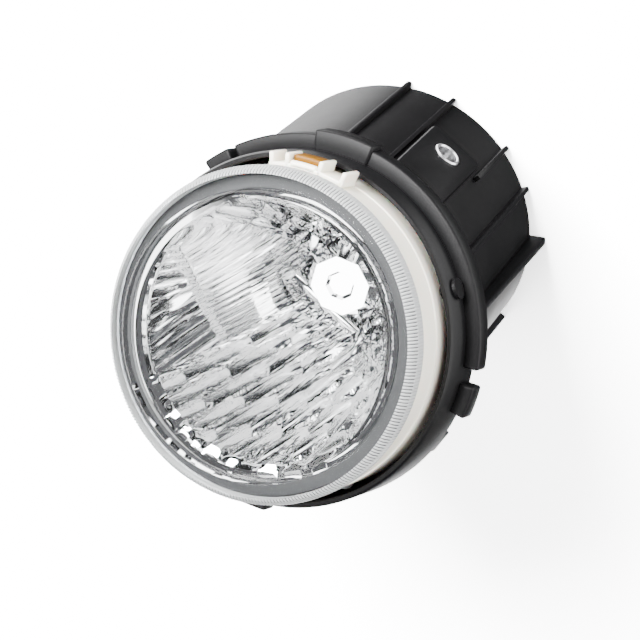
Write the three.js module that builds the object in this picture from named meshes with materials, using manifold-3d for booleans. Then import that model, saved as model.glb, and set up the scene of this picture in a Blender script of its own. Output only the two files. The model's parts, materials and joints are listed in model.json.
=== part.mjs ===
// Round fog light with an aimable lamp unit, a twist-lock mounting ring and a ribbed rear shroud.
// It stands on the rear edge of its shroud, whose axis is +Z. The lens leans from that axis, so the lens, its band
// and the mounting ring are made square in a lens frame, with +Z out of the lens, and then set in place. The bulb
// stands parallel to the shroud's axis, to one side of it. Millimetres.
import * as THREE from 'three';
import * as BufferGeometryUtils from 'three/addons/utils/BufferGeometryUtils.js';
import Module from 'manifold-3d';

// Driving dimensions. Heights marked (lens) are in the lens frame.
const SEGMENTS = 72;
const GAP = 0.3;
const LEAN = THREE.MathUtils.degToRad(14.8);
const LEAN_TURN = THREE.MathUtils.degToRad(-31);
const RIM_RADIUS = 50;
const RIM_FRONT = 127; // (lens)
const RIM_DEPTH = 7;
const PLATEAU_RADIUS = 43.4;
const PLATEAU_RISE = 4.2;
const LENS_WALL = 2.2;
const BAND_RADIUS = 49.4;
const RING_BORE = 51.5;
const RING_RADIUS = 53.4;
const RING_FRONT = 107; // (lens)
const LOBE_RADIUS = 58;
const LOBE_TOP = 97; // (lens)
const WEB_BORE = 41;
const BAND_BORE = 45.2;
const SEAT_RADIUS = 47.2;
const SHROUD_FRONT_RADIUS = 47;
const SHROUD_REAR_RADIUS = 45;
const SHROUD_WALL = 2.5;
const SHROUD_LENGTH = 83.8;
const SHROUD_OFFSET = 4.9;
const BUSH_HEIGHT = 42.5;
const BUSH_RADIUS = 4.4;
const BUSH_BORE = 3.3;
const PIVOT_HEIGHT = 101; // (lens)
const LATCH_ANGLE = 331;
const ADJUSTER_RADIUS = 47.4;
const SCREW_RADIUS = 50;
const SCREW_ANGLES = [100, 150, 215];
const BULB_SEAT = 48.8;
const BULB_X = -3;
const BULB_Y = -9.5;
const HOLDER_BORE = 10.6;
const BOWL_HOLE = 11.5;
const BOWL_MOUTH = 40.8;
const BOWL_WALL = 1.3;
const SEAT_DEPTH = 1.5;
const PIN_SIDES = [90, 270];
const BUSH_SIDE = 270;
const BUSH_LENGTH = 8.6;
const BOSS_FOOT = 31;

// Heights worked out from them, in the lens frame.
const RIM_REAR = RIM_FRONT - RIM_DEPTH;
const SEAL_TOP = RIM_FRONT - 3.9;
const SEAL_FOOT = SEAL_TOP - 1.8;
const BOWL_TOP = SEAL_FOOT - GAP;
const WEB_FOOT = 88.5;
const WEB_TOP = WEB_FOOT + 2.5;
const BAND_FOOT = WEB_TOP + 4;
const LUG_TOP = WEB_FOOT - GAP;
const LUG_DEPTH = 4.2;

const wasm = await Module();
wasm.setup();

const group = new THREE.Group();
group.name = 'fog_light';

const materials = {
  black: new THREE.MeshStandardMaterial({ color: 0x2b2a2c, roughness: 0.6 }),
  cream: new THREE.MeshStandardMaterial({ color: 0xe6e1d2, roughness: 0.35 }),
  amber: new THREE.MeshStandardMaterial({ color: 0xc8862a, roughness: 0.4 }),
  clear: new THREE.MeshStandardMaterial({ color: 0xeef2f4, roughness: 0.08, transparent: true, opacity: 0.35 }),
  chrome: new THREE.MeshStandardMaterial({ color: 0xd8dadd, roughness: 0.15, metalness: 1 }),
  steel: new THREE.MeshStandardMaterial({ color: 0xa9abae, roughness: 0.35, metalness: 1 }),
  rubber: new THREE.MeshStandardMaterial({ color: 0x3c3c3e, roughness: 0.85 }),
};

// Takes a geometry, or a point, from the lens frame to its place on the leaning front of the shroud.
const lensPlace = new THREE.Matrix4()
  .makeTranslation(0, 0, SHROUD_LENGTH)
  .multiply(new THREE.Matrix4().makeRotationZ(LEAN_TURN))
  .multiply(new THREE.Matrix4().makeRotationY(LEAN))
  .multiply(new THREE.Matrix4().makeTranslation(-SHROUD_OFFSET, 0, -WEB_TOP));

function leaned(geometry) {
  return geometry.applyMatrix4(lensPlace);
}

function add(name, geometry, material) {
  const mesh = new THREE.Mesh(geometry, materials[material]);
  mesh.name = name;
  group.add(mesh);
}

// A profile given as [radius, height] pairs, turned about the lamp's axis.
function turned(profile, segments = SEGMENTS) {
  const points = profile.map(([radius, height]) => new THREE.Vector2(radius, height));
  const geometry = new THREE.LatheGeometry(points, segments);
  geometry.rotateX(Math.PI / 2);
  return geometry;
}

function ringProfile(inner, outer, foot, top) {
  return [[inner, foot], [outer, foot], [outer, top], [inner, top], [inner, foot]];
}

function rod(radius, foot, top, segments = 24) {
  return turned([[0, foot], [radius, foot], [radius, top], [0, top]], segments);
}

function block(width, depth, height, x, y, z) {
  const geometry = new THREE.BoxGeometry(width, depth, height);
  geometry.translate(x, y, z);
  return geometry;
}

// Turns a geometry made on the +X side to its place around the axis.
function around(geometry, degrees) {
  geometry.rotateZ(THREE.MathUtils.degToRad(degrees));
  return geometry;
}

// Lays a geometry made along +Z down along +X, its foot at the given radius.
function radial(geometry, radius, height, degrees) {
  geometry.rotateY(Math.PI / 2);
  geometry.translate(radius, 0, height);
  return around(geometry, degrees);
}

function solid(geometry) {
  const bare = new THREE.BufferGeometry();
  bare.setAttribute('position', geometry.getAttribute('position'));
  if (geometry.index) {
    bare.setIndex(geometry.index);
  }
  const merged = BufferGeometryUtils.mergeVertices(bare, 1e-4);
  const kept = [];
  const index = merged.index.array;
  for (let i = 0; i < index.length; i += 3) {
    const [a, b, c] = [index[i], index[i + 1], index[i + 2]];
    if (a !== b && b !== c && c !== a) {
      kept.push(a, b, c);
    }
  }
  const mesh = new wasm.Mesh({
    numProp: 3,
    vertProperties: new Float32Array(merged.attributes.position.array),
    triVerts: new Uint32Array(kept),
  });
  return new wasm.Manifold(mesh);
}

function geometryOf(made) {
  const mesh = made.getMesh();
  const geometry = new THREE.BufferGeometry();
  geometry.setAttribute('position', new THREE.BufferAttribute(new Float32Array(mesh.vertProperties), 3));
  geometry.setIndex(new THREE.BufferAttribute(new Uint32Array(mesh.triVerts), 1));
  const flat = geometry.toNonIndexed();
  flat.computeVertexNormals();
  return flat;
}

function joined(base, additions, cuts) {
  let made = solid(base);
  for (const addition of additions) {
    made = made.add(solid(addition));
  }
  for (const cut of cuts) {
    made = made.subtract(solid(cut));
  }
  return geometryOf(made);
}

// A piece of a ring between two radii, across an arc that is centred on the given angle.
function arcBlock(inner, outer, foot, top, centre, sweep) {
  const half = THREE.MathUtils.degToRad(sweep / 2);
  const shape = new THREE.Shape();
  shape.absarc(0, 0, outer, -half, half, false);
  shape.absarc(0, 0, inner, half, -half, true);
  const curveSegments = Math.max(1, Math.ceil(sweep / 12));
  const geometry = new THREE.ExtrudeGeometry(shape, { depth: top - foot, bevelEnabled: false, curveSegments });
  geometry.translate(0, 0, foot);
  return around(geometry, centre);
}

// Lamp unit: lens, seal, reflector, carrier band, latch and bulb shield.
function makeLens() {
  const top = RIM_FRONT + PLATEAU_RISE;
  const floor = SEAL_TOP + GAP;
  const skirt = SEAT_RADIUS + 0.4;
  const groove = RIM_RADIUS - 3.8;
  const inner = PLATEAU_RADIUS - LENS_WALL;
  add('lens', leaned(turned([
    [0, top + 0.6],
    [24, top + 0.35],
    [40.6, top - 0.2],
    [PLATEAU_RADIUS, top - 2.8],
    [PLATEAU_RADIUS, floor + 1.8],
    [groove, floor + 1.8],
    [groove, RIM_FRONT],
    [RIM_RADIUS - 0.6, RIM_FRONT - 2.2],
    [RIM_RADIUS, RIM_FRONT - 3],
    [RIM_RADIUS, RIM_REAR],
    [skirt, RIM_REAR],
    [skirt, floor],
    [inner, floor],
    [inner, top - 4],
    [39.2, top - 2.4],
    [24, top - 1.8],
    [0, top - 1.6],
  ].reverse(), 96)), 'clear');
}

function makeSeal() {
  const seal = ringProfile(PLATEAU_RADIUS - 0.2, SEAT_RADIUS, SEAL_FOOT, SEAL_TOP);
  add('lens_seal', leaned(turned(seal)), 'rubber');
}

// A ring of points about the lens axis, set in place.
function lensRing(radius, height, segments) {
  return ringOf(segments, (c, s) => new THREE.Vector3(radius * c, radius * s, height).applyMatrix4(lensPlace));
}

function ringOf(segments, point) {
  const ring = [];
  for (let i = 0; i < segments; i += 1) {
    const angle = 2 * Math.PI * i / segments;
    ring.push(point(Math.cos(angle), Math.sin(angle)));
  }
  return ring;
}

// Joins rings of points, each to the next and the last to the first, into one closed skin.
function skinned(rings) {
  const count = rings[0].length;
  const positions = rings.flat().flatMap((point) => point.toArray());
  const index = [];
  for (let i = 0; i < rings.length; i += 1) {
    const near = i * count;
    const far = ((i + 1) % rings.length) * count;
    for (let j = 0; j < count; j += 1) {
      const k = (j + 1) % count;
      index.push(near + j, near + k, far + j, near + k, far + k, far + j);
    }
  }
  const geometry = new THREE.BufferGeometry();
  geometry.setAttribute('position', new THREE.Float32BufferAttribute(positions, 3));
  geometry.setIndex(index);
  geometry.computeVertexNormals();
  return geometry;
}

// A bowl surface from a round hole on the bulb's axis to a round mouth in the lens frame.
function bowlRings(hole, holeHeight, mouth, mouthHeight, steps, segments) {
  const rings = [];
  const holeRing = ringOf(segments, (c, s) => new THREE.Vector3(hole * c, hole * s, holeHeight)
    .applyAxisAngle(new THREE.Vector3(0, 0, 1), LEAN_TURN)
    .add(new THREE.Vector3(BULB_X, BULB_Y, 0)));
  const mouthRing = lensRing(mouth, mouthHeight, segments);
  for (let i = 0; i <= steps; i += 1) {
    const across = i / steps;
    const radius = hole + (mouth - hole) * across;
    const up = (radius * radius - hole * hole) / (mouth * mouth - hole * hole);
    rings.push(holeRing.map((from, j) => {
      const to = mouthRing[j];
      const point = from.clone().lerp(to, across);
      point.z = from.z + (to.z - from.z) * up;
      return point;
    }));
  }
  return rings;
}

function makeReflector() {
  const holeHeight = BULB_SEAT + 5;
  const seatFoot = BOWL_TOP - SEAT_DEPTH;
  const inside = bowlRings(BOWL_HOLE, holeHeight, BOWL_MOUTH, BOWL_TOP, 14, SEGMENTS);
  const outside = bowlRings(
    BOWL_HOLE + BOWL_WALL, holeHeight - BOWL_WALL, BOWL_MOUTH + BOWL_WALL + GAP, seatFoot, 14, SEGMENTS);
  const seat = [lensRing(SEAT_RADIUS, seatFoot, SEGMENTS), lensRing(SEAT_RADIUS, BOWL_TOP, SEGMENTS)];
  add('reflector', skinned([...outside, ...seat, ...inside.reverse()]), 'chrome');
}

function makeCarrierBand() {
  const top = BOWL_TOP - SEAT_DEPTH - GAP;
  const skirt = turned(ringProfile(BAND_BORE, BAND_RADIUS, BAND_FOOT, top));
  const nutBoss = block(7, 10, 13, -ADJUSTER_RADIUS, 0, BAND_FOOT + 6.5);
  const nutHole = rod(2.9, BAND_FOOT - 1, BAND_FOOT + 12);
  nutHole.translate(-ADJUSTER_RADIUS, 0, 0);
  const cuts = [nutHole];
  for (const side of PIN_SIDES) {
    cuts.push(radial(rod(3.4, 0, 8), 43, PIVOT_HEIGHT, side));
  }
  add('carrier_band', leaned(joined(skirt, [nutBoss], cuts)), 'cream');
}

function makeLatch() {
  const foot = RING_FRONT + 2.2;
  const top = RIM_REAR - 1;
  const inner = BAND_RADIUS + GAP;
  const bridge = arcBlock(inner, inner + 1.2, foot, top, LATCH_ANGLE, 28);
  const walls = [];
  for (const angle of [-13, -4.5, 7.5, 13]) {
    walls.push(arcBlock(inner + 0.4, inner + 4.2, foot + 0.2, top - 0.2, LATCH_ANGLE + angle, 1.6));
  }
  add('latch_bridge', leaned(joined(bridge, walls, [])), 'cream');
  const padInner = inner + 1.2 + GAP;
  add('latch_pad', leaned(arcBlock(padInner, padInner + 1.8, foot + 0.6, top - 3, LATCH_ANGLE + 1.5, 9)), 'amber');
}

// The bulb stands beside the shroud's axis, with its shield and its holder.
function onBulbAxis(geometry) {
  geometry.translate(BULB_X, BULB_Y, 0);
  return geometry;
}

function makeShield() {
  const foot = BULB_SEAT + 9.2;
  const top = foot + 18;
  const outer = turned([[0, foot], [13.5, foot], [12, top - 4], [9.5, top], [0, top]], 8);
  const hollow = turned([[0, foot - 1], [12.3, foot - 1], [10.9, top - 4.5], [8.4, top - 1.2], [0, top - 1.2]], 8);
  const cuts = [hollow];
  for (let i = 0; i < 8; i += 1) {
    cuts.push(around(block(6, 5.6, 9, 12, 0, foot + 7), 22.5 + 45 * i));
  }
  add('bulb_shield', onBulbAxis(joined(outer, [], cuts)), 'chrome');
}

function makeBulbHolder() {
  const foot = BULB_SEAT - 9;
  const top = BULB_SEAT + 3;
  const tube = turned([
    [HOLDER_BORE, foot],
    [16, foot],
    [16, top],
    [13.2, top],
    [12.8, foot + 1.8],
    [HOLDER_BORE, foot + 1.8],
    [HOLDER_BORE, foot],
  ]);
  const cuts = [];
  for (const angle of [45, 165, 285]) {
    cuts.push(around(block(5, 4.4, 4, 11.8, 0, foot + 1), angle));
  }
  add('bulb_holder', onBulbAxis(joined(tube, [], cuts)), 'black');
}

// Bulb with a bayonet base, turned to lock it in its holder. Its heights count from the bulb seat.
function seated(geometry) {
  geometry.translate(0, 0, BULB_SEAT);
  return onBulbAxis(geometry);
}

function makeBulb() {
  const collar = turned([[0, -11], [10.2, -11], [10.2, 1], [7.5, 3], [0, 3]], 48);
  const lugs = [];
  for (const angle of [0, 120, 240]) {
    lugs.push(around(block(4, 3.6, 1.6, 10.3, 0, -5.6), angle));
  }
  const wireHoles = [];
  for (const side of [-1.6, 1.6]) {
    const hole = rod(0.8, 0, 4, 12);
    hole.translate(0, side, 0);
    wireHoles.push(hole);
  }
  add('bulb_base', seated(joined(collar, lugs, wireHoles)), 'steel');
  add('bulb_glass', seated(turned([
    [0, 19.8],
    [2, 19.2],
    [3.6, 17.7],
    [4.6, 15.6],
    [4.6, 3.3],
    [5.6, 3.3],
    [5.6, 16],
    [4.4, 18.6],
    [2.4, 20.3],
    [0, 20.8],
  ], 32)), 'clear');
  const points = [[-1.6, 1], [-1.6, 11], [-1.6, 13], [1.6, 13], [1.6, 11], [1.6, 1]];
  const wire = new THREE.CatmullRomCurve3(
    points.map(([y, z]) => new THREE.Vector3(0, y, z)), false, 'catmullrom', 0.1);
  const section = new THREE.Shape();
  section.absarc(0, 0, 0.35, 0, Math.PI * 2, false);
  add('filament', seated(new THREE.ExtrudeGeometry(section, {
    steps: 36, bevelEnabled: false, extrudePath: wire, curveSegments: 4,
  })), 'steel');
  add('bulb_seal', seated(turned(ringProfile(HOLDER_BORE, 14.4, -10.8, -9.3), 48)), 'rubber');
}

function makeConnector() {
  const shell = block(20, 13, 25, 0, 0, -23.8);
  const cavity = block(17, 10, 18, 0, 0, -29);
  const guide = block(2.4, 17, 22, 0, 0, -23.4);
  const flange = rod(14.2, -13.4, -11.3, 48);
  const slots = [-4, 4].map((x) => block(1.6, 7, 12, x, 0, -17));
  add('bulb_connector', seated(joined(shell, [guide, flange], [cavity, ...slots])), 'black');
  [-4, 4].forEach((x, i) => {
    add(`terminal_${i + 1}`, seated(block(0.8, 6.3, 18, x, 0, -22)), 'steel');
  });
}

// Housing: mounting ring, rear shroud and the pieces that fasten them.
function makeMountingRing() {
  const cup = turned([
    [WEB_BORE, WEB_FOOT],
    [RING_RADIUS, WEB_FOOT],
    [RING_RADIUS, RING_FRONT - 1],
    [RING_RADIUS - 0.6, RING_FRONT],
    [RING_BORE, RING_FRONT],
    [RING_BORE, WEB_TOP],
    [WEB_BORE, WEB_TOP],
    [WEB_BORE, WEB_FOOT],
  ], 96);
  const inner = RING_RADIUS - 1.2;
  const foot = WEB_FOOT + 2;
  const lobes = [
    arcBlock(inner, LOBE_RADIUS, foot, LOBE_TOP, 14, 9),
    arcBlock(inner, LOBE_RADIUS, foot, LOBE_TOP, 306, 123),
    arcBlock(inner, LOBE_RADIUS, foot, LOBE_TOP, 234.5, 10),
    arcBlock(inner, LOBE_RADIUS, foot, LOBE_TOP, 123, 60),
    arcBlock(inner, LOBE_RADIUS + 1.5, foot - 1, LOBE_TOP + 1, 330.5, 19),
  ];
  const cuts = [];
  for (const side of PIN_SIDES) {
    cuts.push(radial(rod(2.5, 0, 10), 49, PIVOT_HEIGHT, side));
  }
  const adjusterHole = rod(2.1, WEB_FOOT - 1, WEB_TOP + 1);
  adjusterHole.translate(-ADJUSTER_RADIUS, 0, 0);
  cuts.push(adjusterHole);
  for (const angle of SCREW_ANGLES) {
    cuts.push(screwHole(angle, WEB_FOOT - 1, WEB_TOP + 1));
  }
  add('mounting_ring', leaned(joined(cup, lobes, cuts)), 'black');
}

function screwHole(angle, foot, top) {
  const hole = rod(1.8, foot, top);
  hole.translate(SCREW_RADIUS, 0, 0);
  return around(hole, angle);
}

const RIB_ANGLES = [303, 284, 238, 20, 60, 100, 140, 180];
const FIN_ANGLE = 217;
const SHORT_RIB_ANGLE = 256;
const SHORT_RIB = 32;

function makeShroud() {
  const reach = SHROUD_LENGTH + 16;
  const slope = (SHROUD_FRONT_RADIUS - SHROUD_REAR_RADIUS) / SHROUD_LENGTH;
  const front = SHROUD_REAR_RADIUS + slope * reach;
  const tube = turned([
    [SHROUD_REAR_RADIUS - SHROUD_WALL, 0],
    [SHROUD_REAR_RADIUS, 0],
    [front, reach],
    [front - SHROUD_WALL, reach],
    [SHROUD_REAR_RADIUS - SHROUD_WALL, 0],
  ], 96);
  const ribWidth = 1.6;
  const ribMiddle = SHROUD_REAR_RADIUS + 0.4;
  const additions = RIB_ANGLES.map((angle) => around(block(4, ribWidth, reach, ribMiddle, 0, reach / 2), angle));
  additions.push(around(block(7, ribWidth + 1, reach, ribMiddle + 1.3, 0, reach / 2), FIN_ANGLE));
  additions.push(around(block(4, ribWidth, SHORT_RIB, ribMiddle, 0, SHORT_RIB / 2), SHORT_RIB_ANGLE));
  additions.push(around(block(8, 19, reach - BOSS_FOOT, 46, 0, (reach + BOSS_FOOT) / 2), BUSH_SIDE));
  for (const angle of SCREW_ANGLES) {
    additions.push(leaned(around(block(12, 8, LUG_DEPTH, 47, 0, LUG_TOP - LUG_DEPTH / 2), angle)));
  }
  const core = turned([
    [0, -1],
    [SHROUD_REAR_RADIUS - SHROUD_WALL, -1],
    [SHROUD_REAR_RADIUS - SHROUD_WALL, 0],
    [front - SHROUD_WALL, reach],
    [front - SHROUD_WALL, reach + 1],
    [0, reach + 1],
  ], 96);
  const aboveWeb = leaned(block(200, 200, 60, 0, 0, LUG_TOP + 30));
  const bore = radial(rod(BUSH_RADIUS + GAP, 0, 16), 38, BUSH_HEIGHT, BUSH_SIDE);
  const holes = SCREW_ANGLES.map((angle) => leaned(screwHole(angle, LUG_TOP - 6, LUG_TOP + 1)));
  add('rear_shroud', joined(tube, additions, [core, aboveWeb, bore, ...holes]), 'black');
}

function makeFasteners() {
  const sleeve = turned(ringProfile(BUSH_BORE, BUSH_RADIUS, 0, BUSH_LENGTH), 36);
  add('side_bush', radial(sleeve, 41.8, BUSH_HEIGHT, BUSH_SIDE), 'steel');
  PIN_SIDES.forEach((side, i) => {
    const pin = turned([[0, 0], [2.2, 0], [2.2, 8.4], [3.2, 8.4], [3.2, 9.4], [0, 9.4]], 24);
    add(`pivot_pin_${i + 1}`, leaned(radial(pin, 45.4, PIVOT_HEIGHT, side)), 'steel');
    const bush = turned(ringProfile(2.5, 3.1, 0, 3.4), 24);
    add(`pivot_bush_${i + 1}`, leaned(radial(bush, 45.6, PIVOT_HEIGHT, side)), 'steel');
  });
  SCREW_ANGLES.forEach((angle, i) => {
    const headTop = LUG_TOP - LUG_DEPTH - GAP;
    const screw = turned([
      [0, headTop - 2.2],
      [2.2, headTop - 2.2],
      [2.2, headTop],
      [1.4, headTop],
      [1.4, WEB_TOP - 0.4],
      [0, WEB_TOP - 0.4],
    ], 20);
    screw.translate(SCREW_RADIUS, 0, 0);
    add(`shroud_screw_${i + 1}`, leaned(around(screw, angle)), 'steel');
  });
}

function makeAdjuster() {
  const head = LUG_TOP;
  const screw = turned([
    [0, head - 4.2],
    [2.9, head - 4.2],
    [2.9, head],
    [1.6, head],
    [1.6, BAND_FOOT + 8.5],
    [0, BAND_FOOT + 8.5],
  ], 24);
  const slot = block(1, 8, 1.4, 0, 0, head - 4);
  const pieces = {
    adjuster_screw: joined(screw, [], [slot]),
    adjuster_nut: turned(ringProfile(2.3, 2.6, BAND_FOOT + 2.5, BAND_FOOT + 10), 24),
    adjuster_clip: turned(ringProfile(1.9, 3.2, WEB_TOP + GAP, WEB_TOP + GAP + 0.9), 24),
  };
  for (const [name, geometry] of Object.entries(pieces)) {
    geometry.translate(-ADJUSTER_RADIUS, 0, 0);
    add(name, leaned(geometry), 'steel');
  }
}

// Moves everything so that the origin is under the middle of the whole lamp.
function centreGroup() {
  const box = new THREE.Box3().setFromObject(group);
  const middle = box.getCenter(new THREE.Vector3());
  for (const mesh of group.children) {
    mesh.geometry.translate(-middle.x, -middle.y, 0);
  }
}

makeMountingRing();
makeShroud();
makeFasteners();
makeLens();
makeSeal();
makeReflector();
makeCarrierBand();
makeLatch();
makeShield();
makeBulbHolder();
makeBulb();
makeConnector();
makeAdjuster();
centreGroup();

export default group;
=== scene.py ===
"""Round fog light: the looks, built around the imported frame. Metres, with +Z forward along the shroud."""

import json
import math

import bpy
from mathutils import Matrix, Vector


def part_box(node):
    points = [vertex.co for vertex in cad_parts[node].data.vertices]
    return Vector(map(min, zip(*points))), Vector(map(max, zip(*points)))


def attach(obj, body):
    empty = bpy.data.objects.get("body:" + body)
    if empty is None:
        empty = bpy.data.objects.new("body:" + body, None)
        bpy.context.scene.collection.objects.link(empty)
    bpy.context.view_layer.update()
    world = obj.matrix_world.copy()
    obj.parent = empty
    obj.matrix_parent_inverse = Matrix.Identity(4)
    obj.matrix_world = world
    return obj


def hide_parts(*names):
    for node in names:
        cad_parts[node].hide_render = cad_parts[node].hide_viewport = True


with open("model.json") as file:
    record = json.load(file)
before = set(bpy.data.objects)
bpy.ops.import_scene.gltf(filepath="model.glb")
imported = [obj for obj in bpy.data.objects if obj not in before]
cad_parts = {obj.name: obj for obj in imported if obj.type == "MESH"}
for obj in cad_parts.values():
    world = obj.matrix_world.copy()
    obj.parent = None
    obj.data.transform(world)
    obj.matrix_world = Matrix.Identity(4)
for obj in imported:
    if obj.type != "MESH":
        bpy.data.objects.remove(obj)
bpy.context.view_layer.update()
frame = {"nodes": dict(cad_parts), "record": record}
MM = 0.001

# Places come from the frame's joints, mounts and boxes, and sizes repeat the part's. The lens, band and ring
# are made square in a lens frame, with +Z out of the lens, and then set in place, because they lean from the
# shroud's axis. The bulb and its shield stand beside that axis.
joints = {joint["name"]: joint for joint in frame["record"]["behaviour"]["joints"]}
PIVOT = Vector(joints["aim_tilt"]["pos_m"])
PIVOT_AXIS = Vector(joints["aim_tilt"]["axis"]).normalized()
LENS_AXIS = Vector(joints["adjuster_turn"]["axis"]).normalized()
PIVOT_HEIGHT = 101 * MM
bulb_axis = Vector(joints["bulb_twist"]["pos_m"])
BULB_PLACE = Matrix.Translation((bulb_axis.x, bulb_axis.y, 0))
lens_columns = Matrix((PIVOT_AXIS.cross(LENS_AXIS), PIVOT_AXIS, LENS_AXIS)).transposed().to_4x4()
LENS_PLACE = Matrix.Translation(PIVOT) @ lens_columns @ Matrix.Translation((0, 0, -PIVOT_HEIGHT))

shield_low, shield_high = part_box("bulb_shield")
bush_low, bush_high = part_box("side_bush")
mounts = {mount["name"]: mount for mount in frame["record"]["mounts"]}
SHROUD_PLACE = Matrix.Translation(((bush_low.x + bush_high.x) / 2, mounts["shroud_rear_face"]["pos_m"][1], 0))

GAP = 0.3 * MM
RIM_RADIUS = 50 * MM
RIM_FRONT = PIVOT_HEIGHT + 26 * MM
RIM_REAR = RIM_FRONT - 7 * MM
PLATEAU_RADIUS = RIM_RADIUS - 6.6 * MM
PLATEAU_RISE = 4.2 * MM
LENS_WALL = 2.2 * MM
GROOVE_OUTER = RIM_RADIUS - 2.2 * MM
GROOVE_FLOOR = RIM_FRONT - 1.8 * MM
GROOVE_UNDERSIDE = GROOVE_FLOOR - 1.8 * MM
SEAL_TOP = RIM_FRONT - 3.9 * MM
SEAL_FOOT = SEAL_TOP - 1.8 * MM
BOWL_TOP = SEAL_FOOT - GAP
BOWL_WALL = 1.3 * MM
SEAT_DEPTH = 1.5 * MM
BOWL_MOUTH = 40.8 * MM
BOWL_HOLE = 11.5 * MM
SEAT_RADIUS = 47.2 * MM
BAND_RADIUS = 49.4 * MM
BAND_BORE = 45.2 * MM
BAND_TOP = BOWL_TOP - SEAT_DEPTH - GAP
RING_BORE = 51.5 * MM
RING_RADIUS = 53.4 * MM
RING_FRONT = RIM_FRONT - 20 * MM
LOBE_RADIUS = 58 * MM
LOBE_TOP = RIM_FRONT - 30 * MM
WEB_FOOT = RIM_FRONT - 38.5 * MM
WEB_TOP = WEB_FOOT + 2.5 * MM
WEB_BORE = 41 * MM
BAND_FOOT = WEB_TOP + 4 * MM
SHROUD_TOP = WEB_FOOT - GAP
SHROUD_LENGTH = 83.8 * MM
SHROUD_REAR_RADIUS = 45 * MM
SHROUD_FRONT_RADIUS = 47 * MM
SHROUD_WALL = 2.5 * MM
BULB_SEAT = bulb_axis.z + 5 * MM
BUSH_HEIGHT = (bush_low.z + bush_high.z) / 2
BUSH_RADIUS = (bush_high.z - bush_low.z) / 2
BUSH_BORE = BUSH_RADIUS - 1.1 * MM
BUSH_FOOT = 41.8 * MM
BUSH_LENGTH = 8.6 * MM
LATCH_ANGLE = 331
BUSH_SIDE = 270
SCREW_ANGLES = (100, 150, 215)

# The camera stands this far off the lens axis, rolled and shifted so that the lamp sits as it should.
VIEW_TILT = math.radians(25.5)
VIEW_ROLL = math.radians(-103.6)
VIEW_DISTANCE = 1.0186
VIEW_RIGHT = 0.0184
VIEW_UP = 0.005
FOCAL_LENGTH = 196.9


# Mesh building.
def make_object(name, verts, faces, smooth_angle=35):
    mesh = bpy.data.meshes.new(name)
    mesh.from_pydata([tuple(v) for v in verts], [], faces)
    mesh.validate()
    piece = bpy.data.objects.new(name, mesh)
    bpy.context.collection.objects.link(piece)
    shade(piece, smooth_angle)
    return piece


def shade(piece, smooth_angle):
    mesh = piece.data
    for polygon in mesh.polygons:
        polygon.use_smooth = smooth_angle > 0
    if smooth_angle > 0:
        mesh.set_sharp_from_angle(angle=math.radians(smooth_angle))


def apply_modifiers(piece, smooth_angle=35):
    graph = bpy.context.evaluated_depsgraph_get()
    mesh = bpy.data.meshes.new_from_object(piece.evaluated_get(graph))
    piece.modifiers.clear()
    piece.data = mesh
    shade(piece, smooth_angle)


def bevel(piece, width, segments=2):
    modifier = piece.modifiers.new("edge", "BEVEL")
    modifier.width = width
    modifier.segments = segments
    modifier.limit_method = "ANGLE"
    modifier.angle_limit = math.radians(40)
    apply_modifiers(piece, 50)


def cut_with(piece, cutter, smooth_angle=35):
    modifier = piece.modifiers.new("cut", "BOOLEAN")
    modifier.operation = "DIFFERENCE"
    modifier.solver = "EXACT"
    modifier.object = cutter
    apply_modifiers(piece, smooth_angle)
    bpy.data.objects.remove(cutter)


def lathe(name, profile, segments=256, smooth_angle=35, offset=None):
    """A closed profile of (radius, height) points turned about Z; points at radius 0 become poles."""
    pole = 1e-7
    verts = []
    rings = []
    for index, (radius, height) in enumerate(profile):
        if radius < pole:
            rings.append([len(verts)] * segments)
            verts.append((0, 0, height))
            continue
        ring = []
        for step in range(segments):
            angle = 2 * math.pi * step / segments
            shift = offset(index, step) if offset else 0
            ring.append(len(verts))
            reach = radius + shift
            verts.append((reach * math.cos(angle), reach * math.sin(angle), height))
        rings.append(ring)
    faces = []
    pairs = list(zip(rings, rings[1:] + rings[:1]))
    if profile[0][0] < pole and profile[-1][0] < pole:
        pairs = pairs[:-1]
    for lower, upper in pairs:
        for step in range(segments):
            after = (step + 1) % segments
            corners = [lower[step], lower[after], upper[after], upper[step]]
            face = list(dict.fromkeys(corners))
            if len(face) > 2:
                faces.append(face)
    return make_object(name, verts, faces, smooth_angle)


def arc_block(name, inner, outer, foot, top, centre, sweep, edge=0.3 * MM):
    """A block between two radii across an arc, with its edges softened."""
    steps = max(2, int(sweep * 1.2))
    verts = []
    for step in range(steps + 1):
        angle = math.radians(centre - sweep / 2 + sweep * step / steps)
        c, s = math.cos(angle), math.sin(angle)
        verts += [(inner * c, inner * s, foot), (outer * c, outer * s, foot)]
        verts += [(outer * c, outer * s, top), (inner * c, inner * s, top)]
    faces = [[3, 2, 1, 0], [4 * steps + k for k in range(4)]]
    for step in range(steps):
        a, b = 4 * step, 4 * step + 4
        for k in range(4):
            n = (k + 1) % 4
            faces.append([a + k, a + n, b + n, b + k])
    piece = make_object(name, verts, faces)
    bevel(piece, edge)
    return piece


def rib(name, inner, low_outer, high_outer, width, foot, top, angle, edge=0.35 * MM):
    """A straight rib along the axis whose outer edge may lean."""
    half = width / 2
    verts = []
    for height, outer in ((foot, low_outer), (top, high_outer)):
        verts += [(inner, -half, height), (outer, -half, height)]
        verts += [(outer, half, height), (inner, half, height)]
    faces = [[3, 2, 1, 0], [4, 5, 6, 7], [0, 1, 5, 4], [1, 2, 6, 5], [2, 3, 7, 6], [3, 0, 4, 7]]
    turn = Matrix.Rotation(math.radians(angle), 4, "Z")
    piece = make_object(name, [turn @ Vector(v) for v in verts], faces)
    bevel(piece, edge)
    return piece


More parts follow.
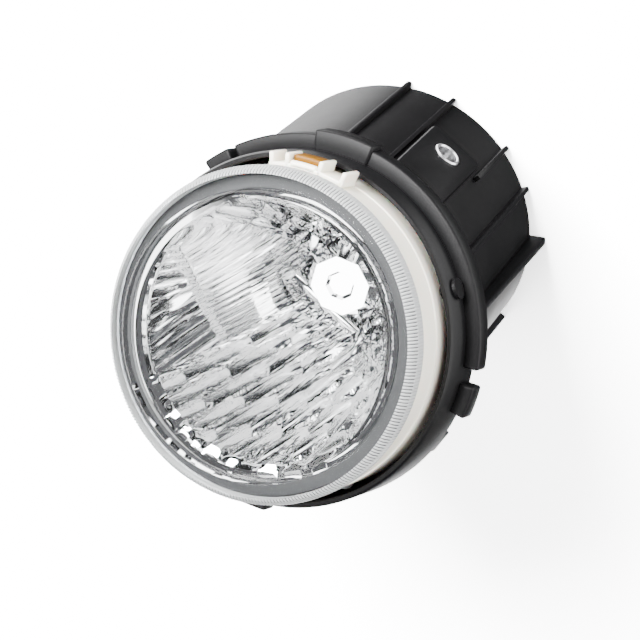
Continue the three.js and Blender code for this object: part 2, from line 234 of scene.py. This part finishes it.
def box_of(low, high):
    """The points and faces of a box between two corners."""
    points = [(x, y, z) for z in (low[2], high[2]) for y in (low[1], high[1]) for x in (low[0], high[0])]
    return points, [[0, 2, 3, 1], [4, 5, 7, 6], [0, 1, 5, 4], [1, 3, 7, 5], [3, 2, 6, 7], [2, 0, 4, 6]]


def lay_down(piece, radius, height, angle):
    """Turns a piece made along +Z to point out along the given direction, its foot at the given radius."""
    place = Matrix.Rotation(math.radians(angle), 4, "Z") @ Matrix.Translation((radius, 0, height))
    piece.data.transform(place @ Matrix.Rotation(math.pi / 2, 4, "Y"))
    return piece


# Materials.
def new_material(name):
    material = bpy.data.materials.new(name)
    material.use_nodes = True
    return material, material.node_tree.nodes, material.node_tree.links


def textured(name, base, roughness, grain_scale, grain_depth, tint=None, metallic=0.0, **sockets):
    """A principled surface with colour variation, uneven roughness and a fine bump, all in object space."""
    material, nodes, links = new_material(name)
    surface = nodes["Principled BSDF"]
    surface.inputs["Metallic"].default_value = metallic
    for socket, value in sockets.items():
        surface.inputs[socket.replace("_", " ")].default_value = value
    place = nodes.new("ShaderNodeTexCoord")
    cloud = nodes.new("ShaderNodeTexNoise")
    cloud.inputs["Scale"].default_value = 60
    cloud.inputs["Detail"].default_value = 4
    links.new(place.outputs["Object"], cloud.inputs["Vector"])
    colour = nodes.new("ShaderNodeValToRGB")
    colour.color_ramp.elements[0].position = 0.3
    colour.color_ramp.elements[1].position = 0.75
    colour.color_ramp.elements[0].color = (*base, 1)
    colour.color_ramp.elements[1].color = (*(tint or [channel * 1.15 for channel in base]), 1)
    links.new(cloud.outputs["Fac"], colour.inputs["Fac"])
    links.new(colour.outputs["Color"], surface.inputs["Base Color"])
    rough = nodes.new("ShaderNodeMapRange")
    rough.inputs["To Min"].default_value = roughness * 0.85
    rough.inputs["To Max"].default_value = roughness * 1.2
    links.new(cloud.outputs["Fac"], rough.inputs["Value"])
    links.new(rough.outputs["Result"], surface.inputs["Roughness"])
    grain = nodes.new("ShaderNodeTexNoise")
    grain.inputs["Scale"].default_value = grain_scale
    grain.inputs["Detail"].default_value = 3
    links.new(place.outputs["Object"], grain.inputs["Vector"])
    bump = nodes.new("ShaderNodeBump")
    bump.inputs["Strength"].default_value = 0.6
    bump.inputs["Distance"].default_value = grain_depth
    links.new(grain.outputs["Fac"], bump.inputs["Height"])
    links.new(bump.outputs["Normal"], surface.inputs["Normal"])
    return material


def clear_material(name, tint, roughness, clarity, haze_tone=0.92):
    """Thin clear plastic: mostly see-through, with a Fresnel reflection and a faint haze."""
    material, nodes, links = new_material(name)
    nodes.remove(nodes["Principled BSDF"])
    through = nodes.new("ShaderNodeBsdfTransparent")
    through.inputs["Color"].default_value = (*tint, 1)
    haze = nodes.new("ShaderNodeBsdfDiffuse")
    haze.inputs["Color"].default_value = (haze_tone * 0.98, haze_tone, haze_tone, 1)
    body = nodes.new("ShaderNodeMixShader")
    body.inputs["Fac"].default_value = 1 - clarity
    links.new(through.outputs[0], body.inputs[1])
    links.new(haze.outputs[0], body.inputs[2])
    gloss = nodes.new("ShaderNodeBsdfGlossy")
    gloss.inputs["Roughness"].default_value = roughness
    fresnel = nodes.new("ShaderNodeFresnel")
    fresnel.inputs["IOR"].default_value = 1.28
    mixed = nodes.new("ShaderNodeMixShader")
    links.new(fresnel.outputs[0], mixed.inputs["Fac"])
    links.new(body.outputs[0], mixed.inputs[1])
    links.new(gloss.outputs[0], mixed.inputs[2])
    links.new(mixed.outputs[0], nodes["Material Output"].inputs["Surface"])
    return material


def make_materials():
    return {
        "black": textured("moulded_black", (0.0035, 0.0034, 0.0037), 0.42, 3200, 0.00004,
                          Specular_IOR_Level=0.12),
        "cream": textured("glossy_cream", (0.9, 0.85, 0.74), 0.22, 900, 0.00001, (0.93, 0.87, 0.74),
                          Subsurface_Weight=0.15, Subsurface_Scale=0.003),
        "amber": textured("amber", (0.13, 0.052, 0.0002), 0.3, 900, 0.00001, (0.17, 0.068, 0.0003),
                          Specular_IOR_Level=0.12),
        "mirror": textured("aluminised", (0.92, 0.915, 0.92), 0.035, 500, 0.000003, (0.95, 0.95, 0.95),
                           metallic=1.0),
        "steel": textured("turned_steel", (0.6, 0.6, 0.61), 0.28, 1800, 0.00001, metallic=1.0),
        "rubber": textured("seal_rubber", (0.02, 0.02, 0.022), 0.55, 2500, 0.00003),
        "dark_seal": textured("seal_face", (0.016, 0.0163, 0.018), 0.5, 2500, 0.00003),
        "clear": clear_material("clear_lens", (0.98, 0.985, 0.985), 0.03, 0.998),
        "rim": clear_material("clear_rim", (0.62, 0.64, 0.66), 0.08, 0.4, 0.62),
        # A darker see-through material, painted shade for the floors of the rim's knurl grooves.
        "painted_groove_shade": clear_material("painted_groove_shade", (0.5, 0.5, 0.52), 0.1, 0.3, 0.08),
        "glass": clear_material("bulb_glass", (0.96, 0.97, 0.98), 0.01, 0.99),
        "wire": textured("filament_wire", (0.35, 0.34, 0.33), 0.4, 4000, 0.00001, metallic=1.0),
    }


def finish_piece(piece, material, body, place=LENS_PLACE):
    piece.data.transform(place)
    piece.data.materials.clear()
    piece.data.materials.append(material)
    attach(piece, body)
    return piece


# Stage.
def make_camera():
    back = Vector((0, -math.sin(VIEW_TILT), math.cos(VIEW_TILT)))
    level = Vector((1, 0, 0))
    upright = back.cross(level)
    right = math.cos(VIEW_ROLL) * level + math.sin(VIEW_ROLL) * upright
    up = math.cos(VIEW_ROLL) * upright - math.sin(VIEW_ROLL) * level
    eye = Vector((0, 0, RIM_FRONT)) + VIEW_RIGHT * right + VIEW_UP * up + VIEW_DISTANCE * back
    data = bpy.data.cameras.new("camera")
    data.sensor_width = 36
    data.lens = FOCAL_LENGTH
    data.clip_end = 10
    camera = bpy.data.objects.new("camera", data)
    turn = Matrix((right, up, back)).transposed().to_4x4()
    camera.matrix_world = LENS_PLACE @ Matrix.Translation(eye) @ turn
    bpy.context.collection.objects.link(camera)
    bpy.context.scene.camera = camera


# The floor is brighter than a real one and isn't seen in reflections, so it is white while the black stays
# black.
FLOOR_WHITE = 3.2


def make_floor():
    half = 3
    corners = [(-half, -half, 0), (half, -half, 0), (half, half, 0), (-half, half, 0)]
    floor = make_object("floor", corners, [[0, 1, 2, 3]], 0)
    material, nodes, links = new_material("white_table")
    nodes.remove(nodes["Principled BSDF"])
    surface = nodes.new("ShaderNodeBsdfDiffuse")
    surface.inputs["Color"].default_value = (FLOOR_WHITE, FLOOR_WHITE, FLOOR_WHITE, 1)
    links.new(surface.outputs[0], nodes["Material Output"].inputs["Surface"])
    floor.data.materials.append(material)
    floor.visible_diffuse = False
    floor.visible_glossy = False


def make_backdrop():
    """A pale wall round the lamp, which only the camera sees."""
    sides = 64
    radius = 2.9
    height = 4
    verts = []
    for step in range(sides):
        angle = 2 * math.pi * step / sides
        verts += [(radius * math.cos(angle), radius * math.sin(angle), z) for z in (0, height)]
    faces = [[2 * k, 2 * k + 1, (2 * k + 3) % (2 * sides), (2 * k + 2) % (2 * sides)] for k in range(sides)]
    wall = make_object("backdrop", verts, faces)
    material, nodes, links = new_material("pale_wall")
    nodes.remove(nodes["Principled BSDF"])
    glow = nodes.new("ShaderNodeEmission")
    glow.inputs["Strength"].default_value = 8
    links.new(glow.outputs[0], nodes["Material Output"].inputs["Surface"])
    wall.data.materials.append(material)
    wall.visible_diffuse = False
    wall.visible_glossy = False
    wall.visible_shadow = False


def make_world():
    world = bpy.data.worlds.new("studio")
    bpy.context.scene.world = world
    world.use_nodes = True
    nodes, links = world.node_tree.nodes, world.node_tree.links
    place = nodes.new("ShaderNodeTexCoord")
    patches = nodes.new("ShaderNodeTexNoise")
    patches.inputs["Scale"].default_value = 0.9
    patches.inputs["Detail"].default_value = 1
    shift = nodes.new("ShaderNodeMapping")
    shift.inputs["Location"].default_value = (3, 2.1, 0)
    links.new(place.outputs["Generated"], shift.inputs["Vector"])
    links.new(shift.outputs["Vector"], patches.inputs["Vector"])
    ramp = nodes.new("ShaderNodeValToRGB")
    ramp.color_ramp.elements[0].position = 0.52
    ramp.color_ramp.elements[0].color = (0.018, 0.018, 0.019, 1)
    ramp.color_ramp.elements[1].position = 0.55
    ramp.color_ramp.elements[1].color = (1, 1, 1, 1)
    links.new(patches.outputs["Fac"], ramp.inputs["Fac"])
    links.new(ramp.outputs["Color"], nodes["Background"].inputs["Color"])
    nodes["Background"].inputs["Strength"].default_value = 8


def make_light(name, place, target, width, power):
    data = bpy.data.lights.new(name, "AREA")
    data.size = width
    data.energy = power
    lamp = bpy.data.objects.new(name, data)
    lamp.location = place
    lamp.rotation_euler = (Vector(target) - Vector(place)).to_track_quat("-Z", "Y").to_euler()
    bpy.context.collection.objects.link(lamp)


# Lens and its rim.
RIM_RIBS = 300


def make_lens(materials):
    top = RIM_FRONT + PLATEAU_RISE
    bevel = 2.8 * MM
    bevel_foot = top - bevel
    bevel_rise = 2.5 * MM
    bevel_steps = 5
    inner = PLATEAU_RADIUS - LENS_WALL
    underside = top - 1.6 * MM
    crown = top + 0.6 * MM
    profile = [(0, underside)]
    profile += [(r * MM, underside - 0.8 * MM * (r / 39) ** 2) for r in (8, 16, 24, 32, 39)]
    profile += [(inner, top - 4 * MM), (inner, GROOVE_UNDERSIDE), (GROOVE_OUTER, GROOVE_UNDERSIDE)]
    profile += [(GROOVE_OUTER, GROOVE_FLOOR), (PLATEAU_RADIUS, GROOVE_FLOOR), (PLATEAU_RADIUS, bevel_foot)]
    for step in range(1, bevel_steps + 1):
        turn = math.pi / 2 * step / bevel_steps
        reach = PLATEAU_RADIUS - bevel * (1 - math.cos(turn))
        profile.append((reach, bevel_foot + bevel_rise * math.sin(turn)))
    profile += [(r * MM, crown - 0.9 * MM * (r / 40) ** 2) for r in (36, 30, 24, 16, 8)]
    profile += [(0, crown)]
    face = lathe("lens_face", profile, 256, 30)
    finish_piece(face, materials["clear"], "lamp_unit")
    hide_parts("lens")


def make_rim(materials):
    ribbed = {3, 4, 5, 6, 7}
    per_rib = 4
    depth = 0.32 * MM

    # The outline's ribbed points lie deeper over the second half of each rib, and the groove floor faces
    # there take a darker material: painted shade in the grooves.
    def knurl(index, step):
        return -depth if index in ribbed and step % per_rib > 1 else 0

    skirt = 47.6 * MM
    outline = [
        (skirt, RIM_REAR),
        (RIM_RADIUS - 0.4 * MM, RIM_REAR),
        (RIM_RADIUS, RIM_REAR + 0.4 * MM),
        (RIM_RADIUS, RIM_FRONT - 3.2 * MM),
        (RIM_RADIUS - 0.4 * MM, RIM_FRONT - 2.4 * MM),
        (RIM_RADIUS - 0.9 * MM, RIM_FRONT - 1.1 * MM),
        (RIM_RADIUS - 1.5 * MM, RIM_FRONT - 0.4 * MM),
        (RIM_RADIUS - 1.9 * MM, RIM_FRONT - 0.1 * MM),
        (GROOVE_OUTER, RIM_FRONT),
        (GROOVE_OUTER - 0.05 * MM, GROOVE_UNDERSIDE),
        (skirt, GROOVE_UNDERSIDE),
    ]
    rim = lathe("lens_rim", outline, RIM_RIBS * per_rib, 20, knurl)
    finish_piece(rim, materials["rim"], "lamp_unit")
    rim.data.materials.append(materials["painted_groove_shade"])
    # Painted shade: the groove floor face of every rib takes the darker second material.
    for polygon in rim.data.polygons:
        row, step = divmod(polygon.index, RIM_RIBS * per_rib)
        if row in ribbed and step % per_rib == 2:
            polygon.material_index = 1
    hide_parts("lens")


def make_seal(materials):
    inner = PLATEAU_RADIUS - 0.2 * MM
    outer = GROOVE_OUTER - 0.3 * MM
    edge = 0.3 * MM
    seal = lathe("seal_ring", [
        (inner, SEAL_FOOT),
        (outer, SEAL_FOOT),
        (outer, SEAL_TOP - edge),
        (outer - edge, SEAL_TOP),
        (inner + edge, SEAL_TOP),
        (inner, SEAL_TOP - edge),
    ])
    finish_piece(seal, materials["dark_seal"], "lamp_unit")
    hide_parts("lens_seal")


# Reflector. Its hole is round the bulb's axis and its mouth is round the lens axis.
FACET_TURN = math.radians(23)
FLUTE_PITCH = 1.5 * MM
FLUTES_FROM = 12 * MM
FLUTES_SIDE = -4 * MM
# Length, width, and the rise along and across each pillow.
LONG_PILLOW = (14 * MM, 5 * MM, 0.9 * MM, 0.6 * MM)
SHORT_PILLOW = (6.2 * MM, 4.4 * MM, 0.45 * MM, 0.45 * MM)
FLUTE_RISE = 0.1 * MM
ROW_STEP = 0.25 * MM
STEP_CENTRE = Vector((13 * MM, -13 * MM))
STEP_RADIUS = 42 * MM
STEP_RISE = 0.5 * MM
BEAD_PITCH = 2 * MM
BEAD_REACH = 0.6 * MM


def hump(place, pitch):
    """A parabola that is 0 at each whole pitch and 1 halfway between."""
    return 1 - (2 * ((place / pitch) % 1) - 1) ** 2


def facet(x, y):
    """How far the reflecting surface stands in from the plain bowl, at a place seen down the lens axis."""
    across = x * math.cos(FACET_TURN) + y * math.sin(FACET_TURN)
    along = y * math.cos(FACET_TURN) - x * math.sin(FACET_TURN)
    if across > FLUTES_FROM and along > FLUTES_SIDE:
        reach = Vector((x, y)) - STEP_CENTRE
        past = reach.length - STEP_RADIUS
        if abs(past) < BEAD_REACH:
            return STEP_RISE * hump(math.atan2(reach.y, reach.x) * STEP_RADIUS, BEAD_PITCH)
        return FLUTE_RISE * hump(across, FLUTE_PITCH) if past < 0 else STEP_RISE
    length, width, rise, side_rise = LONG_PILLOW if along > FLUTES_SIDE else SHORT_PILLOW
    row = math.floor(across / width)
    shifted = along + 0.5 * length * (row % 2)
    step = ROW_STEP * ((row * 7) % 3)
    return rise * hump(shifted, length) + side_rise * hump(across, width) + step


def circle(radius, height, segments, place, turn=0.0):
    """Points round an upright circle that is then set in place."""
    points = []
    for j in range(segments):
        angle = 2 * math.pi * j / segments + turn
        points.append(place @ Vector((radius * math.cos(angle), radius * math.sin(angle), height)))
    return points


def bowl_rings(hole, hole_height, mouth, mouth_height, steps, segments):
    """Rings of points, in the object's frame, from the round hole to the round mouth."""
    turn = math.atan2(LENS_AXIS.y, LENS_AXIS.x)
    starts = circle(hole, hole_height, segments, BULB_PLACE, turn)
    ends = circle(mouth, mouth_height, segments, LENS_PLACE)
    rings = []
    for i in range(steps + 1):
        across = i / steps
        radius = hole + (mouth - hole) * across
        rise = (radius ** 2 - hole ** 2) / (mouth ** 2 - hole ** 2)
        ring = []
        for start, end in zip(starts, ends):
            point = start.lerp(end, across)
            point.z = start.z + (end.z - start.z) * rise
            ring.append(point)
        rings.append(ring)
    return rings


def faceted_rings(rings, segments):
    """Moves the rings' points in by the depth of the facets, which fade out at the hole and the mouth."""
    steps = len(rings) - 1
    to_lens = LENS_PLACE.inverted()
    faceted = []
    for i, ring in enumerate(rings):
        before, after = rings[max(0, i - 1)], rings[min(steps, i + 1)]
        fade = min(1, (steps - i) / 3, i / 12)
        moved = []
        for j, point in enumerate(ring):
            along = (after[j] - before[j]).normalized()
            around = (ring[(j + 1) % segments] - ring[j - 1]).normalized()
            inward = around.cross(along)
            if inward.z < 0:
                inward.negate()
            seen = to_lens @ point
            moved.append(point + inward * facet(seen.x, seen.y) * fade)
        faceted.append(moved)
    return faceted


def make_reflector(materials):
    segments = 640
    hole_height = BULB_SEAT + 5 * MM
    seat_foot = BOWL_TOP - SEAT_DEPTH
    inside = bowl_rings(BOWL_HOLE, hole_height, BOWL_MOUTH, BOWL_TOP, 160, segments)
    outside = bowl_rings(BOWL_HOLE + BOWL_WALL, hole_height - BOWL_WALL, BOWL_MOUTH + BOWL_WALL + GAP,
                         seat_foot, 16, segments)
    seat = [circle(SEAT_RADIUS, height, segments, LENS_PLACE) for height in (seat_foot, BOWL_TOP)]
    rings = outside + seat + faceted_rings(inside, segments)[::-1]
    verts = [point for ring in rings for point in ring]
    faces = []
    for i in range(len(rings)):
        near, far = i * segments, ((i + 1) % len(rings)) * segments
        for j in range(segments):
            k = (j + 1) % segments
            faces.append([near + j, near + k, far + k, far + j])
    bowl = make_object("reflector_bowl", verts, faces, 32)
    finish_piece(bowl, materials["mirror"], "lamp_unit", Matrix.Identity(4))
    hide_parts("reflector")


SHIELD_SIDES = 8


def make_shield(materials):
    foot, top = shield_low.z, shield_high.z
    cup_foot = foot + 11 * MM
    reach = 13.4 * MM
    wall = 1.1 * MM
    pieces = [
        lathe("shield_foot", [
            (reach - wall, foot),
            (reach, foot),
            (reach - 0.3 * MM, foot + 3 * MM),
            (reach - 0.3 * MM - wall, foot + 3 * MM),
        ], SHIELD_SIDES, 0),
        lathe("shield_cup", [
            (0, top - 3.4 * MM),
            (6 * MM, top - 3.6 * MM),
            (10.6 * MM, top - 5 * MM),
            (11 * MM, cup_foot),
            (12.2 * MM, cup_foot),
            (11.8 * MM, top - 4 * MM),
            (9.4 * MM, top),
            (4.6 * MM, top),
            (3.8 * MM, top - 1.3 * MM),
            (0, top - 1.3 * MM),
        ], SHIELD_SIDES, 0),
    ]
    for index in range(SHIELD_SIDES):
        post = rib(f"shield_post_{index + 1}", 11.4 * MM, 13.2 * MM, 12.1 * MM, 2 * MM, foot + 2 * MM,
                   cup_foot + 1 * MM, 360 / SHIELD_SIDES * index, 0.2 * MM)
        pieces.append(post)
    bar_low, bar_high = (-17 * MM, 12.3 * MM, foot), (13 * MM, 15.6 * MM, foot + 8 * MM)
    bar = make_object("shield_bar", *box_of(bar_low, bar_high))
    bevel(bar, 0.7 * MM)
    pieces.append(bar)
    for piece in pieces:
        finish_piece(piece, materials["mirror"], "lamp_unit", BULB_PLACE)
        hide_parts("bulb_shield")


# Carrier band and its latch.
def make_band(materials):
    foot, top = BAND_FOOT, BAND_TOP
    edge = 0.4 * MM
    step_in = 0.35 * MM
    band = lathe("band_skirt", [
        (BAND_BORE, foot),
        (BAND_RADIUS - edge, foot),
        (BAND_RADIUS, foot + edge),
        (BAND_RADIUS, foot + 14 * MM),
        (BAND_RADIUS - step_in, foot + 14.3 * MM),
        (BAND_RADIUS - step_in, top - edge),
        (BAND_RADIUS - step_in - edge, top),
        (BAND_BORE, top),
    ])
    finish_piece(band, materials["cream"], "lamp_unit")
    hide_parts("carrier_band")


def make_latch(materials):
    inner = BAND_RADIUS - 0.2 * MM
    wall_outer = BAND_RADIUS + 4.4 * MM
    foot, top = RING_FRONT + 2.3 * MM, RIM_REAR - 1.1 * MM
    pieces = [arc_block("latch_plate", inner, BAND_RADIUS + 1.4 * MM, foot, top, LATCH_ANGLE, 28)]
    for index, angle in enumerate((-13, -4.5, 7.5, 13)):
        pieces.append(arc_block(f"latch_wall_{index + 1}", inner, wall_outer, foot, top, LATCH_ANGLE + angle,
                                1.7, 0.5 * MM))
    pad_angle = LATCH_ANGLE + 1.5
    pieces.append(arc_block("latch_lip", inner, BAND_RADIUS + 2.4 * MM, top - 2.2 * MM, top, pad_angle, 10,
                            0.7 * MM))
    for piece in pieces:
        finish_piece(piece, materials["cream"], "lamp_unit")
        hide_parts("latch_bridge")
    pad = arc_block("amber_pad", BAND_RADIUS + 1.8 * MM, BAND_RADIUS + 4 * MM, foot + 0.6 * MM,
                    top - 2.4 * MM, pad_angle, 9.5, 0.4 * MM)
    finish_piece(pad, materials["amber"], "lamp_unit")
    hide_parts("latch_pad")


# Housing. Each lobe has its centre and sweep in degrees, how much further out it reaches than a plain one,
# and how much further it reaches at its foot and its top.
LOBES = (
    (14, 9, 0, 0),
    (306, 123, 0, 0),
    (234.5, 10, 0, 0),
    (123, 60, 0, 0),
    (330.5, 19, 1.4 * MM, 0.9 * MM),
)
RIB_ANGLES = (303, 284, 238, 20, 60, 100, 140, 180)
FIN_ANGLE = 217
SHORT_RIB_ANGLE = 256


def make_ring(materials):
    edge = 0.5 * MM
    pieces = [lathe("ring_body", [
        (WEB_BORE, WEB_FOOT),
        (RING_RADIUS - edge, WEB_FOOT),
        (RING_RADIUS, WEB_FOOT + edge),
        (RING_RADIUS, RING_FRONT - 1 * MM),
        (RING_RADIUS - 0.6 * MM, RING_FRONT),
        (RING_BORE + 0.3 * MM, RING_FRONT),
        (RING_BORE, RING_FRONT - 0.3 * MM),
        (RING_BORE, WEB_TOP),
        (WEB_BORE, WEB_TOP),
    ])]
    inner = RING_RADIUS - 1.2 * MM
    foot = WEB_FOOT + 2 * MM
    for index, (middle, sweep, out, rise) in enumerate(LOBES):
        pieces.append(arc_block(f"twist_lobe_{index + 1}", inner, LOBE_RADIUS + out, foot - rise,
                                LOBE_TOP + rise, middle, sweep, 0.7 * MM))
    for piece in pieces:
        finish_piece(piece, materials["black"], "housing")
        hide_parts("mounting_ring")


def trim_front(piece):
    """Cuts off what stands above the shroud's top, which lies just short of the mounting ring."""
    reach = 90 * MM
    height = 60 * MM
    above = rib("trim_block", -reach, reach, reach, 2 * reach, SHROUD_TOP, SHROUD_TOP + height, 0, 0.1 * MM)
    above.data.transform(LENS_PLACE)
    cut_with(piece, above)


def make_shroud(materials):
    # Each piece runs past the shroud's leaning top and is trimmed there.
    spare = 16 * MM
    edge = 0.5 * MM
    reach = SHROUD_LENGTH + spare
    flare = (SHROUD_FRONT_RADIUS - SHROUD_REAR_RADIUS) / SHROUD_LENGTH
    front = SHROUD_REAR_RADIUS + flare * reach
    tube = lathe("shroud_tube", [
        (SHROUD_REAR_RADIUS - SHROUD_WALL, 0),
        (SHROUD_REAR_RADIUS - edge, 0),
        (SHROUD_REAR_RADIUS, edge),
        (front, reach),
        (front - SHROUD_WALL, reach),
    ])
    boss_face = 49.9 * MM
    bore = BUSH_RADIUS + 0.1 * MM
    bore_foot = 38 * MM
    depth = 16 * MM
    boss = rib("shroud_boss", SHROUD_REAR_RADIUS - 1.5 * MM, boss_face, boss_face, 19 * MM, 31 * MM, reach,
               BUSH_SIDE, 1.6 * MM)
    for piece in (tube, boss):
        cutter = lathe("bore_cutter", [(0, 0), (bore, 0), (bore, depth), (0, depth)], 64)
        cut_with(piece, lay_down(cutter, bore_foot, BUSH_HEIGHT, BUSH_SIDE))
    pieces = [tube, boss]
    root = SHROUD_REAR_RADIUS - 1 * MM
    low, high = SHROUD_REAR_RADIUS + 2.1 * MM, SHROUD_REAR_RADIUS + 3.9 * MM
    width = 1.5 * MM
    for index, angle in enumerate(RIB_ANGLES):
        pieces.append(rib(f"shroud_rib_{index + 1}", root, low, high, width, 0, reach, angle))
    pieces.append(rib("shroud_fin", root, low + 3 * MM, high + 1.2 * MM, 2.5 * MM, 0, reach, FIN_ANGLE))
    pieces.append(rib("shroud_rib_short", root, low, low + 0.8 * MM, width, 0, 32 * MM, SHORT_RIB_ANGLE))
    for piece in pieces:
        piece.data.transform(SHROUD_PLACE)
        trim_front(piece)
    lug_inner, lug_outer = 42.5 * MM, 52.9 * MM
    for index, angle in enumerate(SCREW_ANGLES):
        lug = rib(f"screw_lug_{index + 1}", lug_inner, lug_outer, lug_outer, 8 * MM, SHROUD_TOP - 4.2 * MM,
                  SHROUD_TOP, angle, 0.5 * MM)
        lug.data.transform(LENS_PLACE)
        pieces.append(lug)
    for piece in pieces:
        finish_piece(piece, materials["black"], "housing", Matrix.Identity(4))
        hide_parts("rear_shroud")


def make_bush(materials):
    edge = 0.35 * MM
    bush = lathe("bush_sleeve", [
        (BUSH_BORE, edge),
        (BUSH_BORE + edge, 0),
        (BUSH_RADIUS, 0),
        (BUSH_RADIUS, BUSH_LENGTH - edge),
        (BUSH_RADIUS - edge, BUSH_LENGTH),
        (BUSH_BORE + edge, BUSH_LENGTH),
        (BUSH_BORE, BUSH_LENGTH - edge),
    ], 96)
    lay_down(bush, BUSH_FOOT, BUSH_HEIGHT, BUSH_SIDE)
    finish_piece(bush, materials["steel"], "housing", SHROUD_PLACE)
    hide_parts("side_bush")


KEPT_NODES = {
    "steel": ["shroud_screw_1", "shroud_screw_2", "shroud_screw_3", "adjuster_clip", "adjuster_nut",
              "pivot_bush_1", "pivot_bush_2", "bulb_base", "terminal_1", "terminal_2", "adjuster_screw"],
    "black": ["pivot_pin_1", "pivot_pin_2", "bulb_holder", "bulb_connector"],
    "rubber": ["bulb_seal"],
    "glass": ["bulb_glass"],
    "wire": ["filament"],
}


def dress_kept_nodes(materials):
    for key, names in KEPT_NODES.items():
        for name in names:
            node = frame["nodes"][name]
            for slot in node.material_slots:
                slot.material = materials[key]


make_camera()
make_floor()
make_backdrop()
make_world()
aim = (0, 0, 0.08)
make_light("key", (0.75, -0.35, 0.9), aim, 0.7, 100)
make_light("fill", (-0.5, -0.9, 0.8), aim, 0.9, 12)
make_light("softbox", (0.04, 0.6, 1.1), aim, 0.6, 20)

surfaces = make_materials()
make_lens(surfaces)
make_rim(surfaces)
make_seal(surfaces)
make_reflector(surfaces)
make_shield(surfaces)
make_band(surfaces)
make_latch(surfaces)
make_ring(surfaces)
make_shroud(surfaces)
make_bush(surfaces)
dress_kept_nodes(surfaces)
